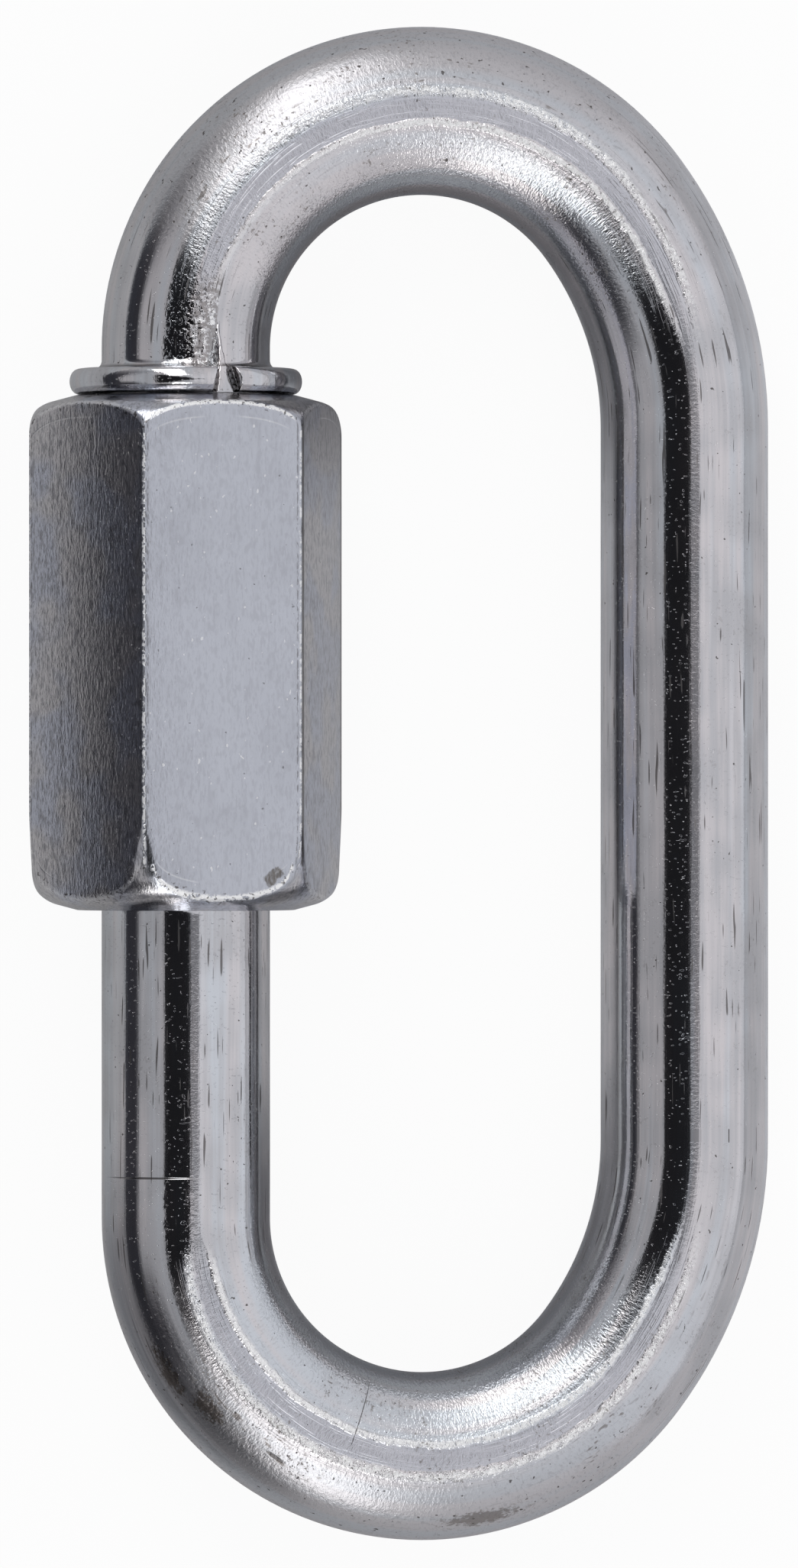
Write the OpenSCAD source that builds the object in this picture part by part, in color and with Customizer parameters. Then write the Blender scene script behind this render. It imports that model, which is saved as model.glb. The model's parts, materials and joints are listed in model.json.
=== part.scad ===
// Chain quick link: a bent rod whose gate is closed by a long hexagonal sleeve nut.
// It lies on its back on z = 0. The long side runs along Y and the nut is on the -X side.

/* [Link] */
// Diameter of the rod
rod_d = 10; // [8:0.5:11]
// Clear width between the two legs
inner_width = 20; // [18:0.5:24]
// Clear length between the two crowns
inner_length = 70; // [70:1:110]
// Inside radius of the crown bends
crown_inner_r = 9.25; // [7:0.25:10]

/* [Gate] */
// Diameter of the two threaded ends, over the thread
thread_d = 12; // [11:0.5:13]
// Length of the short end, from the collar's seat to its tip
short_end = 6; // [5:0.5:8]
// Clear gap between the two ends
gate_gap = 12; // [10:0.5:14]
// Depth of thread, left out where the short end is relieved under the collar
thread_depth = 0.9; // [0.5:0.05:1.2]
// Width of the relief groove under the collar
relief_w = 1; // [0.6:0.1:2]
// Chamfer of the two tips
tip_chamfer = 1; // [0.5:0.1:1.5]
// Length of plain rod that the nut covers past the long end's thread
thread_cover = 0.6; // [0.3:0.1:3]

/* [Collar] */
// Diameter of the pressed stop collar
collar_d = 13.8; // [13:0.1:16]
// Thickness of the collar
collar_h = 1.55; // [1.2:0.05:2]
// Straight rod between the crown bend and the collar
collar_drop = 1.15; // [0.5:0.05:4]
// Small cone where the collar runs into the rod
collar_root = 0.5; // [0.2:0.1:1]

/* [Die flash] */
// Turn of the parting plane about the leg, away from the link's face
flash_turn = 14; // [0:1:40]
// Height of the flash web above the collar
flash_rise = 3.1; // [1:0.1:5]
// Width of the web at the collar's seat
flash_w = 1.3; // [0.6:0.1:2]
// Width of the web at its tip
flash_tip_w = 0.4; // [0.2:0.05:0.6]
// How far the web stays inside the collar's rim
flash_inset = 0.45; // [0.2:0.05:1]
// Open notch on each side of the web, where the collar's halves end
flash_notch = 0.2; // [0.1:0.05:0.4]

/* [Nut] */
// Size across the flats
nut_flats = 17; // [16:0.5:19]
// Length of the nut
nut_length = 30.5; // [27:0.5:36]
// How far the hexagon's edges are taken down below sharp
nut_edge_break = 0.12; // [0.05:0.01:0.3]
// Slope of the end faces, away from square
nut_end_slope = 15; // [5:1:20]
// Rounding of the end corners
nut_end_round = 1.8; // [1:0.1:2.2]
// Diameter of the square seat that meets the collar
nut_seat_d = 13.2; // [13:0.1:14]
// How far the edges fall away at the lower end
nut_taper = 0.35; // [0.1:0.05:0.5]
// Length over which they fall away
nut_taper_length = 6; // [4:0.5:12]
// Countersink at each mouth of the bore
nut_mouth = 0.4; // [0.2:0.1:0.5]
// Turn of the hexagon from standing on an edge
nut_turn = 14; // [-30:1:30]

/* [Fits] */
// Radial running clearance of the thread
thread_fit = 0.05; // [0.02:0.01:0.1]
// Gap between the closed nut and the collar
seat_gap = 0.05; // [0.02:0.01:0.2]

/* [Hidden] */
$fn = 128;
OVERLAP = 0.2;
// The direction, from a crown's centre, in which its bend eases into the shoulder
EASE = [0.8, 0.6];
ZINC_BODY = [0.74, 0.76, 0.79];
ZINC_NUT = [0.70, 0.73, 0.77];

// The bent centreline
rod_r = rod_d / 2;
leg_gap = inner_width + rod_d;
crown_r = crown_inner_r + rod_r;
crown_y = inner_length / 2 - crown_inner_r;
shoulder_r = (leg_gap - crown_r * (1 + EASE.x)) / (1 - EASE.x);
leg_half = crown_y + (crown_r - shoulder_r) * EASE.y;

// Heights along the gate leg, as Y
collar_top = crown_y - collar_drop;
collar_low = collar_top - collar_h;
short_tip = collar_low - short_end;
long_tip = short_tip - gate_gap;
nut_top = collar_low - seat_gap;
nut_low = nut_top - nut_length;
long_end = nut_low + thread_cover;

// Radii about the gate leg
thread_r = thread_d / 2;
relief_r = thread_r - thread_depth;
collar_r = collar_d / 2;
web_r = collar_r - flash_inset;
bore_r = thread_r + thread_fit;

// The nut's hexagon, its rounded edges and the half angle that each edge's band covers
nut_corner_r = nut_flats / 2 / cos(30);
nut_edge_r = nut_corner_r - nut_edge_break;
edge_half = 30 - acos(nut_flats / 2 / nut_edge_r);

// The rest attitude: the nut stands on an edge and the plain leg on its side
nut_drop = nut_edge_r * cos(max(0, abs(nut_turn) - edge_half));
nut_reach = nut_edge_r * cos(max(0, 30 - abs(nut_turn) - edge_half));
rest_tilt = asin((nut_drop - rod_r) / leg_gap);
leg_span = leg_gap * cos(rest_tilt);
plain_leg_x = (leg_span + nut_reach - rod_r) / 2;
gate_leg_x = plain_leg_x - leg_span;

// The plane of the link, with the plain leg's axis on x = 0
module link_plane() {
    translate([plain_leg_x, 0, rod_r]) rotate([0, rest_tilt, 0]) children();
}

// A leg's own frame: what is drawn up Z runs along the leg's Y
module along_leg(x = 0) {
    translate([x, 0, 0]) rotate([-90, 0, 0]) children();
}

// A ring of the rod about Z, kept inside the outline of a sector
module bend(radius, sector) {
    intersection() {
        rotate_extrude() translate([radius, 0]) circle(d = rod_d);
        linear_extrude(2 * rod_d, center = true) polygon(sector);
    }
}

// One end of the link: a crown that eases into a wider shoulder over the plain leg.
// A ball inside the rod, where the two bends meet, keeps them one solid at every size.
module crown() {
    far = 2 * (crown_r + rod_d);
    side = 2 * (shoulder_r + rod_d);
    translate([crown_r - leg_gap, crown_y, 0]) {
        bend(crown_r, [[0, 0], far * EASE, [far, far], [-far, far], [-far, 0]]);
        translate([crown_r * EASE.x, crown_r * EASE.y, 0]) sphere(r = rod_r / 2);
    }
    translate([-shoulder_r, leg_half, 0])
        bend(shoulder_r, [[0, 0], [side, 0], [side, side * EASE.y], side * EASE]);
}

// The short threaded end, with its relief under the collar
module short_stud() {
    thread_start = collar_low - relief_w - thread_depth;
    rotate_extrude() polygon([
        [0, crown_y],
        [rod_r, crown_y],
        [rod_r, collar_low + OVERLAP],
        [relief_r, collar_low + OVERLAP],
        [relief_r, collar_low - relief_w],
        [thread_r, thread_start],
        [thread_r, short_tip + tip_chamfer],
        [thread_r - tip_chamfer, short_tip],
        [0, short_tip]
    ]);
}

// The long threaded end, which runs out into the plain leg inside the nut
module long_stud() {
    rotate_extrude() polygon([
        [0, long_tip],
        [thread_r - tip_chamfer, long_tip],
        [thread_r, long_tip - tip_chamfer],
        [thread_r, long_end + thread_r - rod_r],
        [rod_r, long_end],
        [rod_r, -crown_y],
        [0, -crown_y]
    ]);
}

// The front outline of the die flash, wider by a margin on each side
module flash_outline(margin = 0) {
    foot = flash_w / 2 + margin;
    tip = flash_tip_w / 2 + margin;
    polygon([
        [-foot, collar_low],
        [foot, collar_low],
        [tip, collar_top + flash_rise],
        [-tip, collar_top + flash_rise]
    ]);
}

// The side outline of the die flash, from one rim of the collar to the other
module flash_side() {
    tip_r = rod_r - OVERLAP;
    polygon([
        [-web_r, collar_low],
        [web_r, collar_low],
        [tip_r, collar_top + flash_rise],
        [-tip_r, collar_top + flash_rise]
    ]);
}

// An outline drawn as width and height, made as thick as depth and stood up along the leg
module upright(depth) {
    rotate([90, 0, 0]) linear_extrude(depth, center = true) children();
}

// The collar: a bead in two halves that end at the parting plane
module collar() {
    bead_r = collar_h / 2;
    difference() {
        rotate_extrude() {
            polygon([
                [rod_r - OVERLAP, collar_low],
                [collar_r - bead_r, collar_low],
                [collar_r - bead_r, collar_top],
                [rod_r + collar_root, collar_top],
                [rod_r, collar_top + collar_root],
                [rod_r - OVERLAP, collar_top + collar_root]
            ]);
            translate([collar_r - bead_r, collar_low + bead_r]) circle(r = bead_r);
        }
        rotate(flash_turn) upright(2 * collar_d) flash_outline(flash_notch);
    }
}

// The webs of flash that fill the notches and run up the rod
module flash() {
    rotate(flash_turn) intersection() {
        upright(2 * collar_d) flash_outline();
        rotate(90) upright(2 * collar_d) flash_side();
    }
}

module link_body() {
    color(ZINC_BODY) link_plane() {
        crown();
        mirror([0, 1, 0]) crown();
        along_leg() translate([0, 0, -leg_half]) cylinder(r = rod_r, h = 2 * leg_half);
        along_leg(-leg_gap) {
            short_stud();
            collar();
            flash();
            long_stud();
        }
    }
}

// One end of the nut's turned outline, drawn upwards from its end face at height 0:
// a sloping face that rounds over into the edges of the hexagon
module nut_end(seat_r, edge_r, height) {
    round_r = edge_r - nut_end_round;
    round_y = nut_end_round / cos(nut_end_slope) + (round_r - seat_r) * tan(nut_end_slope);
    polygon([
        [0, 0],
        [seat_r, 0],
        [round_r + nut_end_round * sin(nut_end_slope), round_y - nut_end_round * cos(nut_end_slope)],
        [edge_r, round_y],
        [nut_edge_r, height],
        [0, height]
    ]);
    translate([round_r, round_y]) circle(r = nut_end_round);
}

module nut_outline() {
    nut_end(bore_r + nut_mouth, nut_edge_r - nut_taper, nut_taper_length);
    translate([0, nut_taper_length]) square([nut_edge_r, nut_length - 2 * nut_taper_length]);
    translate([0, nut_length]) mirror([0, 1]) nut_end(nut_seat_d / 2, nut_edge_r, nut_taper_length);
}

// The threaded bore, countersunk at both mouths
module nut_bore() {
    rotate_extrude() polygon([
        [0, -OVERLAP],
        [bore_r + nut_mouth + OVERLAP, -OVERLAP],
        [bore_r, nut_mouth],
        [bore_r, nut_length - nut_mouth],
        [bore_r + nut_mouth + OVERLAP, nut_length + OVERLAP],
        [0, nut_length + OVERLAP]
    ]);
}

module sleeve_nut() {
    color(ZINC_NUT) translate([gate_leg_x, nut_low, nut_drop]) along_leg() rotate(30 - nut_turn) {
        difference() {
            intersection() {
                cylinder(r = nut_corner_r, h = nut_length, $fn = 6);
                rotate_extrude() nut_outline();
            }
            nut_bore();
        }
    }
}

link_body();
sleeve_nut();
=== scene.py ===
"""Looks of a chain quick link: a bent zinc-plated rod with a pressed collar and a long sleeve nut."""

import json
import math

import bpy
import numpy as np
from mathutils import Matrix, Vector, noise


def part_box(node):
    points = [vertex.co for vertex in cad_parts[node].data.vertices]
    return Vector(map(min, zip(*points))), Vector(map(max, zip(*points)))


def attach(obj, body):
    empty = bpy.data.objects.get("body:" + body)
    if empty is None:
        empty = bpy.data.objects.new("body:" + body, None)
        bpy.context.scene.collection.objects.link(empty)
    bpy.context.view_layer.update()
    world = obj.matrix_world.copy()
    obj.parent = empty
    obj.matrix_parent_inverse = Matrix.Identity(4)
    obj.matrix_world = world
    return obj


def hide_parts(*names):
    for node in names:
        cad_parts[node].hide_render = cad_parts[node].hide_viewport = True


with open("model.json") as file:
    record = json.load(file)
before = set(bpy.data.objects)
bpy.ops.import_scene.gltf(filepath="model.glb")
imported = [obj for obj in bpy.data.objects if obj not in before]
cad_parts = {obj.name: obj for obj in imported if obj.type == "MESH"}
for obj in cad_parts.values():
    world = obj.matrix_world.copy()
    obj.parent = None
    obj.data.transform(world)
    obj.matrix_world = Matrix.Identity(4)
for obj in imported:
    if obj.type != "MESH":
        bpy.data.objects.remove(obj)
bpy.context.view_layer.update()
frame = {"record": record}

MM = 0.001

# Sizes that the frame holds, in millimetres
mounts = {mount["name"]: mount for mount in frame["record"]["mounts"]}
_, body_high = (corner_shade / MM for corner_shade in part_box("link_body"))
nut_low, nut_high = (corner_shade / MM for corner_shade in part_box("sleeve_nut"))
upper_flat = Vector(mounts["spanner_flat_upper"]["pos_m"]) / MM
lower_flat = Vector(mounts["spanner_flat_lower"]["pos_m"]) / MM
front_axis = mounts["spanner_flat_upper"]["axis"]

# Sizes of the CAD source, in millimetres, with its diameters halved
ROD_R = 5.0
CROWN_INNER_R = 9.25
EASE = (0.8, 0.6)
THREAD_R = 6.0
SHORT_END = 6.0
GATE_GAP = 12.0
RELIEF_W = 1.0
RELIEF_DEPTH = 0.9
TIP_CHAMFER = 1.0
THREAD_COVER = 0.6
COLLAR_R = 6.9
COLLAR_H = 1.55
COLLAR_DROP = 1.15
FLASH_TURN = 14.0
FLASH_RISE = 3.1
FLASH_W = 1.3
FLASH_INSET = 0.45
NUT_EDGE_BREAK = 0.12
NUT_END_SLOPE = math.radians(15)
NUT_SEAT_R = 6.6
NUT_TAPER = 0.35
NUT_TAPER_LENGTH = 6.0
NUT_MOUTH_R = 6.45

# The drawn thread: its pitch, the radii that limit it, its play in the bore and the steps along it
PITCH = 1.5
PITCH_LINE_R = THREAD_R - 0.325 * PITCH
STUD_ROOT_R = ROD_R + 0.08
BORE_LOW_R = ROD_R + 0.19
BORE_HIGH_R = THREAD_R + 0.16
BORE_PLAY = 0.14
STUD_STEP = PITCH / 14
BORE_STEP = PITCH / 8

# The drawn die flash: notches closed up by wear, and webs that narrow upwards and have steep sides
FLASH_NOTCH = 0.1
NOTCH_FLOOR_R = ROD_R + 0.2
HALF_SWELL = 0.35
WEB_TIP_HALF = 0.07
WEB_NARROWING = 2.2
WEB_SINK = 0.02
WEB_CROWN = 0.05
WEB_STEEPNESS = 8.0

# What stands for nowhere near, in the distances that the finishes read
FAR_OFF = 9.0

# The link's plane and the heights along the gate leg
GATE_X = (upper_flat.x + lower_flat.x) / 2
GATE_Z = (upper_flat.z + lower_flat.z) / 2
PLAIN_X = body_high.x - ROD_R
TILT = math.atan2(GATE_Z - ROD_R, PLAIN_X - GATE_X)
LEG_GAP = math.hypot(GATE_Z - ROD_R, PLAIN_X - GATE_X)
CROWN_R = CROWN_INNER_R + ROD_R
CROWN_Y = mounts["upper_crown"]["pos_m"][1] / MM - CROWN_INNER_R
SHOULDER_R = (LEG_GAP - CROWN_R * (1 + EASE[0])) / (1 - EASE[0])
LEG_HALF = CROWN_Y + (CROWN_R - SHOULDER_R) * EASE[1]
EASE_TURN = math.atan2(EASE[1], EASE[0])
COLLAR_TOP = CROWN_Y - COLLAR_DROP
COLLAR_LOW = COLLAR_TOP - COLLAR_H
SHORT_TIP = COLLAR_LOW - SHORT_END
LONG_TIP = SHORT_TIP - GATE_GAP
LONG_END = nut_low.y + THREAD_COVER

# The nut's hexagon, with half the angle and half the width of a face
HEX_HALF = math.radians(30)
NUT_FLATS = (upper_flat - lower_flat).length
NUT_LENGTH = nut_high.y - nut_low.y
NUT_FACE_HALF = NUT_FLATS / 2 * math.tan(HEX_HALF)
NUT_EDGE_R = NUT_FLATS / 2 / math.cos(HEX_HALF) - NUT_EDGE_BREAK
FRONT_TURN = math.atan2(front_axis[0], front_axis[2])


def smooth_step(low, high, value):
    t = np.clip((value - low) / (high - low), 0, 1)
    return t * t * (3 - 2 * t)


def smooth_min(a, b, blend):
    """The lower of two values, rounded over where they meet."""
    h = np.clip(0.5 + 0.5 * (b - a) / blend, 0, 1)
    return b + (a - b) * h - blend * h * (1 - h)


def wander(points, scale, seed):
    """Gentle noise from -1 to 1 at each point."""
    shift = Vector((seed * 13.7, seed * 5.1, seed * 9.3))
    flat = points.reshape(-1, 3) * scale
    return np.array([noise.noise(Vector(p) + shift) for p in flat]).reshape(points.shape[:-1])


def thread_radius(y, turn, play, low, high):
    """A right-hand 60 degree thread about Y, flattened at its lowest and highest radius."""
    phase = (y / PITCH - turn / (2 * math.pi)) % 1.0
    height = PITCH * math.sqrt(3) / 2
    sharp = PITCH_LINE_R + height * (0.5 - 2 * np.abs(phase - 0.5))
    return np.clip(sharp + play, low, high)


def make_piece(name, points, faces, attributes, material):
    """One mesh from points in millimetres, with the values that its finish reads at each point."""
    mesh = bpy.data.meshes.new(name)
    mesh.from_pydata((points * MM).tolist(), [], faces)
    for label, values in attributes.items():
        kind = "FLOAT_VECTOR" if values.ndim == 2 else "FLOAT"
        field = "vector" if values.ndim == 2 else "value"
        layer = mesh.attributes.new(label, kind, "POINT")
        layer.data.foreach_set(field, values.astype(np.float32).ravel())
    mesh.shade_smooth()
    mesh.materials.append(material)
    piece = bpy.data.objects.new(name, mesh)
    bpy.context.scene.collection.objects.link(piece)
    return piece


def grid_faces(rows, columns, start=0):
    """Quads of a grid that is closed around its columns."""
    faces = []
    for i in range(rows - 1):
        for j in range(columns):
            k = (j + 1) % columns
            low, high = start + i * columns, start + (i + 1) * columns
            faces.append((low + j, high + j, high + k, low + k))
    return faces


# The rod's cross section: columns crowd together on its front and back, where the flats and webs are
FRONT_PARTING = math.radians(90 + FLASH_TURN)
CROWD_START, CROWD_END = math.radians(66), math.radians(122)
CROWDED_COLUMNS, WIDE_COLUMNS = 72, 26
crowded = np.linspace(CROWD_START, CROWD_END, CROWDED_COLUMNS, endpoint=False)
wide = np.linspace(CROWD_END, CROWD_START + math.pi, WIDE_COLUMNS, endpoint=False)
half_ring = np.concatenate([crowded, wide])
AROUND = np.concatenate([half_ring, half_ring + math.pi])

# Rings along the legs and on each tip, degrees between them round a bend, and a tip's smallest radius
PLAIN_LEG_RINGS = 60
LOWER_LEG_RINGS = 24
UPPER_LEG_RINGS = 8
TIP_RINGS = 6
ARC_STEP = 2.0
TIP_HUB_R = 0.6

# Height of the rod's gentle waves
ROD_WAVE = 0.006

# Depth of the flats that the bending die leaves on the front and back of the bends
FLAT_DEPTH = 0.045

# How ragged their borders are, how softly they meet the round and how worked they are where they run out
FLAT_RAGGED = 0.3
FLAT_BLEND = 0.02
RUN_OUT = 0.6


class Rod:
    """Stations of the swept rod, each with a centre, outward normal, ring of radii, length and bend."""

    def __init__(self):
        self.centres, self.normals, self.radii, self.lengths, self.bends = [], [], [], [], []
        self.length = 0.0

    def add(self, centre, heading, radius, step, bend):
        self.length += step
        self.centres.append((centre[0], centre[1], 0.0))
        self.normals.append((math.sin(heading), -math.cos(heading), 0.0))
        self.radii.append(np.broadcast_to(radius, AROUND.shape))
        self.lengths.append(self.length)
        self.bends.append(bend)

    def straight(self, x, heading, profile):
        """Rings down or up a leg: profile lists (y, radius round the ring)."""
        last = profile[0][0]
        for y, radius in profile:
            self.add((x, y), heading, radius, abs(y - last), 0.0)
            last = y

    def arc(self, centre, radius, start, end, bend, section=None):
        """Rings round a bend to the left. bend says how worked the surface is, from the share done."""
        count = round(math.degrees(end - start) / ARC_STEP)
        for i in range(1, count + 1):
            share = i / count
            a = start + (end - start) * share
            point = (centre[0] + radius * math.cos(a), centre[1] + radius * math.sin(a))
            ring = section(point[1]) if section else ROD_R
            self.add(point, a + math.pi / 2, ring, radius * (end - start) / count, bend(share))


def cut_stud(y, turned):
    """The radius round a stud at a height: its thread, kept inside its turned outline."""
    turn = np.arctan2(-np.cos(AROUND), np.sin(AROUND))
    return np.minimum(thread_radius(y, turn, 0.0, STUD_ROOT_R, THREAD_R), turned)


def long_stud_profile():
    """The long threaded end, from its tip down to the start of the lower crown."""
    tip_r = THREAD_R - TIP_CHAMFER
    profile = [(LONG_TIP, r) for r in np.linspace(TIP_HUB_R, tip_r, TIP_RINGS)]
    for y in np.arange(LONG_TIP, LONG_END, -STUD_STEP):
        turned = min(THREAD_R, tip_r + LONG_TIP - y, ROD_R + max(y - LONG_END, 0))
        profile.append((y, cut_stud(y, turned)))
    profile += [(y, ROD_R) for y in np.linspace(LONG_END, -CROWN_Y, LOWER_LEG_RINGS)]
    return profile


def flash_limits(y):
    """How far the collar's halves may reach and how far the web stands, round the ring, at a height."""
    share = np.clip((y - COLLAR_LOW) / (COLLAR_H + FLASH_RISE), 0, 1)
    web_half = WEB_TIP_HALF + (FLASH_W / 2 - WEB_TIP_HALF) * (1 - share) ** WEB_NARROWING
    web_top = np.interp(share, [0, 1], [COLLAR_R - FLASH_INSET, ROD_R - WEB_SINK])
    across = np.abs(np.sin(AROUND - FRONT_PARTING)) * COLLAR_R
    beyond = across - web_half - FLASH_NOTCH
    swell = np.sqrt(1 - (1 - np.clip(beyond / HALF_SWELL, 0, 1)) ** 2)
    reach = NOTCH_FLOOR_R + (COLLAR_R - NOTCH_FLOOR_R) * swell
    web = web_top - WEB_CROWN * (across / web_half) ** 2 - WEB_STEEPNESS * np.maximum(across - web_half, 0)
    return reach, np.where(y < COLLAR_LOW, 0, web)


def flash_section(y):
    """The rod's section where the web runs up it."""
    return np.maximum(ROD_R, flash_limits(y)[1])


def short_stud_profile():
    """Down the gate leg from the upper crown: the rod, the collar with its webs, and the short stud."""
    bead_r = COLLAR_H / 2
    bead_fullness = 0.7
    root_r = 0.45
    underside_r = ROD_R + 0.9
    relief_r = THREAD_R - RELIEF_DEPTH
    tip_r = THREAD_R - TIP_CHAMFER
    outline = [(y, ROD_R) for y in np.linspace(CROWN_Y, COLLAR_TOP + root_r, UPPER_LEG_RINGS)[1:]]
    for a in np.linspace(0, math.pi / 2, 7)[1:]:
        outline.append((COLLAR_TOP + root_r * (1 - math.sin(a)), ROD_R + root_r * (1 - math.cos(a))))
    outline += [(COLLAR_TOP, r) for r in np.linspace(ROD_R + root_r, COLLAR_R - bead_r, 5)[1:]]
    for a in np.linspace(math.pi / 2, -math.pi / 2, 25)[1:]:
        bulge = max(math.cos(a), 0.0) ** bead_fullness
        outline.append((COLLAR_LOW + bead_r * (1 + math.sin(a)), COLLAR_R - bead_r * (1 - bulge)))
    profile = []
    for y, r in outline:
        reach, web = flash_limits(y)
        profile.append((y, np.maximum(np.minimum(r, np.maximum(reach, ROD_R)), web)))
    profile += [(COLLAR_LOW, r) for r in np.linspace(underside_r, relief_r, 4)]
    for y in np.arange(COLLAR_LOW, SHORT_TIP, -STUD_STEP):
        relieved = relief_r + max(0.0, COLLAR_LOW - RELIEF_W - y)
        turned = min(THREAD_R, relieved, tip_r + y - SHORT_TIP)
        profile.append((y, cut_stud(y, turned)))
    profile += [(SHORT_TIP, r) for r in np.linspace(tip_r, TIP_HUB_R, TIP_RINGS)]
    return profile


def sweep_rod():
    """The whole rod, from the long stud's tip round both crowns to the short stud's tip."""
    rod = Rod()
    gate = -LEG_GAP
    down, up = -math.pi / 2, math.pi / 2

    # How worked each bend is, from the share of it done
    def lower_crown(share):
        middle = smooth_step(0.12, 0.30, share) - smooth_step(0.82, 1.0, share)
        return RUN_OUT * smooth_step(0.0, 0.12, share) + (1 - RUN_OUT) * middle

    def lower_shoulder(share):
        return RUN_OUT * (1 - smooth_step(0.2, 0.9, share))

    def upper_shoulder(share):
        return RUN_OUT * smooth_step(0.1, 0.8, share)

    def upper_crown(share):
        return RUN_OUT + (1 - RUN_OUT) * smooth_step(0.0, 0.18, share) - smooth_step(0.75, 1.0, share)

    rod.straight(gate, down, long_stud_profile())
    rod.arc((gate + CROWN_R, -CROWN_Y), CROWN_R, math.pi, 2 * math.pi - EASE_TURN, lower_crown)
    rod.arc((-SHOULDER_R, -LEG_HALF), SHOULDER_R, -EASE_TURN, 0.0, lower_shoulder)
    rod.straight(0.0, up, [(y, ROD_R) for y in np.linspace(-LEG_HALF, LEG_HALF, PLAIN_LEG_RINGS)[1:]])
    rod.arc((-SHOULDER_R, LEG_HALF), SHOULDER_R, 0.0, EASE_TURN, upper_shoulder)
    rod.arc((gate + CROWN_R, CROWN_Y), CROWN_R, EASE_TURN, math.pi, upper_crown, flash_section)
    rod.straight(gate, down, short_stud_profile())
    return rod


def place_in_world(points):
    """From the link's plane, with the plain leg's axis at the origin, to the frame."""
    x, y, z = points[..., 0], points[..., 1], points[..., 2]
    cos, sin = math.cos(TILT), math.sin(TILT)
    return np.stack([PLAIN_X + x * cos + z * sin, y, ROD_R - x * sin + z * cos], axis=-1)


def build_link(material):
    """The bent rod with its flats, and what its finish reads."""
    rod = sweep_rod()
    centres, normals = np.array(rod.centres), np.array(rod.normals)
    radii, lengths, bends = np.array(rod.radii), np.array(rod.lengths), np.array(rod.bends)
    across, over = np.cos(AROUND), np.sin(AROUND)
    unbent = np.stack([
        radii * across, radii * over, np.broadcast_to(lengths[:, None], radii.shape)
    ], axis=-1)
    plain = np.abs(radii - ROD_R) < 0.01
    radii = radii - np.where(plain, ROD_WAVE + ROD_WAVE * wander(unbent, 0.16, 1), 0.0)

    # The flats, with ragged borders, and how far inside them each point is
    bent = bends[:, None] > 0.02
    depth = FLAT_DEPTH * bends[:, None] * (1 + FLAT_RAGGED * wander(unbent * [1, 0.3, 1], 0.5, 2))
    facing = np.maximum(np.abs(over), 0.3)
    flat = (ROD_R - depth) / facing
    radii = np.where(bent, smooth_min(radii, flat, FLAT_BLEND), radii)
    land = np.sqrt(np.maximum(ROD_R ** 2 - (ROD_R - depth) ** 2, 0)) - np.abs(ROD_R * across)
    land = np.where(bent, land, -FAR_OFF)

    # The hammered patches: beside the die flash, round the collar and where the lower bend starts.
    # Limits on AROUND are in radians, the others in millimetres along the rod.
    collar_length = rod.length - (COLLAR_TOP - SHORT_TIP)
    above = collar_length - lengths[:, None]
    beside = smooth_step(0.95, 1.25, AROUND) * (1 - smooth_step(1.75, 1.82, AROUND))
    near_web = 0.6 + 1.2 * smooth_step(1.35, 1.70, AROUND)
    hammer = beside * near_web * (1 - smooth_step(2.0, 7.5, above)) * (above > -0.2)
    hammer = np.where((radii > ROD_R + 0.5) & (above < 0.05), 0.16, hammer)
    # Painted shade: dark in the crease where the collar's bead meets the rod, and on the notch walls beside
    # the web
    crease_shade = (1 - smooth_step(0.06, 0.22, above)) * (above > -0.02) * (radii < COLLAR_R - 0.7)
    limits = [flash_limits(y) for y in centres[:, 1]]
    reach, web = np.array([limit[0] for limit in limits]), np.array([limit[1] for limit in limits])
    shaded_notch_wall = (above < 0) & (above > -COLLAR_H) & (reach < COLLAR_R - 0.2) & (radii > web + 0.02)
    crease_shade = np.where(shaded_notch_wall, 1.0, crease_shade * (1 - np.clip(hammer, 0, 1)))
    bruise = smooth_step(1.05, 1.2, AROUND) * (1 - smooth_step(1.45, 1.6, AROUND))
    along = lengths[:, None]
    hammer = hammer + 0.2 * bruise * smooth_step(27.5, 30.0, along) * (1 - smooth_step(34.0, 39.0, along))

    points = centres[:, None, :] + radii[..., None] * (
        across[None, :, None] * normals[:, None, :] + over[None, :, None] * np.array([0.0, 0.0, 1.0])
    )
    rows, columns = radii.shape
    faces = grid_faces(rows, columns)
    faces.append(tuple(range(columns)))
    faces.append(tuple(range(rows * columns - 1, (rows - 1) * columns - 1, -1)))
    attributes = {
        "unbent": unbent.reshape(-1, 3),
        "bend": np.repeat(bends, columns),
        "land": land.ravel(),
        "hammer": hammer.ravel(),
        "crease_shade": crease_shade.ravel(),
    }
    points = place_in_world(points).reshape(-1, 3)
    return make_piece("link_rod", points, faces, attributes, material)


# How far the nut's faces fall away towards its edges, and how softly they meet its turned outline
FACE_CROWN = 0.18
NUT_EDGE_BLEND = 0.12

# How round its corners have worn, the height of its gentle waves, and how deep a dent is that looks dark
NUT_WORN_ROUND = 2.3
NUT_WAVE = 0.008
DEEP_DENT = 0.1

# Columns on each face of the nut, and rows up its outside
FACE_COLUMNS = 54
SLOPE_ROWS = 12
ROUND_ROWS = 30
TAPER_ROWS = 12
MIDDLE_ROWS = 60

# How far the bore's thread stays inside the nut's ends
BORE_INSET = 0.02


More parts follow.
